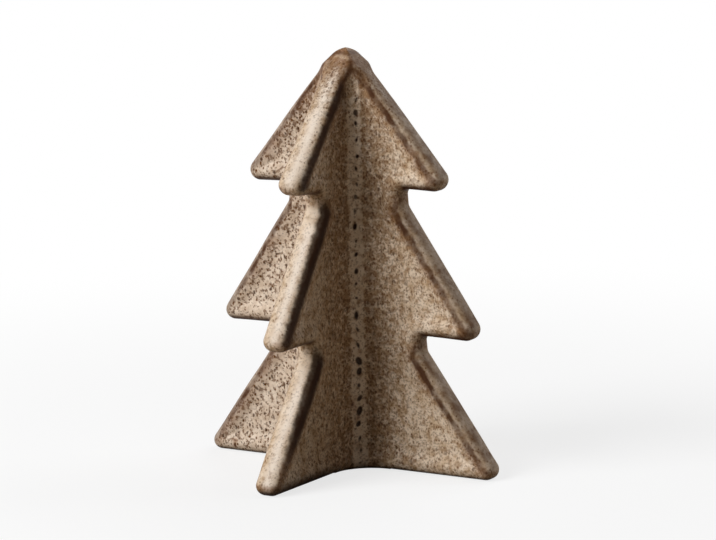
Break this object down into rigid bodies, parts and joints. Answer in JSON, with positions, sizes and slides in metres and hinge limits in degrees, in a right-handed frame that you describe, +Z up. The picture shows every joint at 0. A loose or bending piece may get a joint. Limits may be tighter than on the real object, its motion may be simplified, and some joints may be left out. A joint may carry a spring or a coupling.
{
  "type": "decorative tree",
  "caption": "Free-standing stoneware fir tree made of crossed, tiered wings with rounded rims and a speckled glaze.",
  "frame": {"origin": "on the upright axis where the wings meet, at the level of the foot", "axes": "+Z up along the axis, +X along the right wing, -Y along the front wing"},
  "size_m": [0.1096, 0.1096, 0.14],
  "materials": {
    "wing_glaze": "satin, cream reactive glaze densely speckled with brown, breaking to red-brown on the crests",
    "seam_glaze": "the same satin glaze, pooled thicker and paler in the valleys, with a row of dark pits"
  },
  "bodies": {
    "root": {"wing_right": "wing_glaze", "wing_back": "wing_glaze", "wing_left": "wing_glaze", "wing_front": "wing_glaze", "seam_bead_right_back": "seam_glaze", "seam_bead_back_left": "seam_glaze", "seam_bead_left_front": "seam_glaze", "seam_bead_front_right": "seam_glaze"}
  },
  "joints": []
}
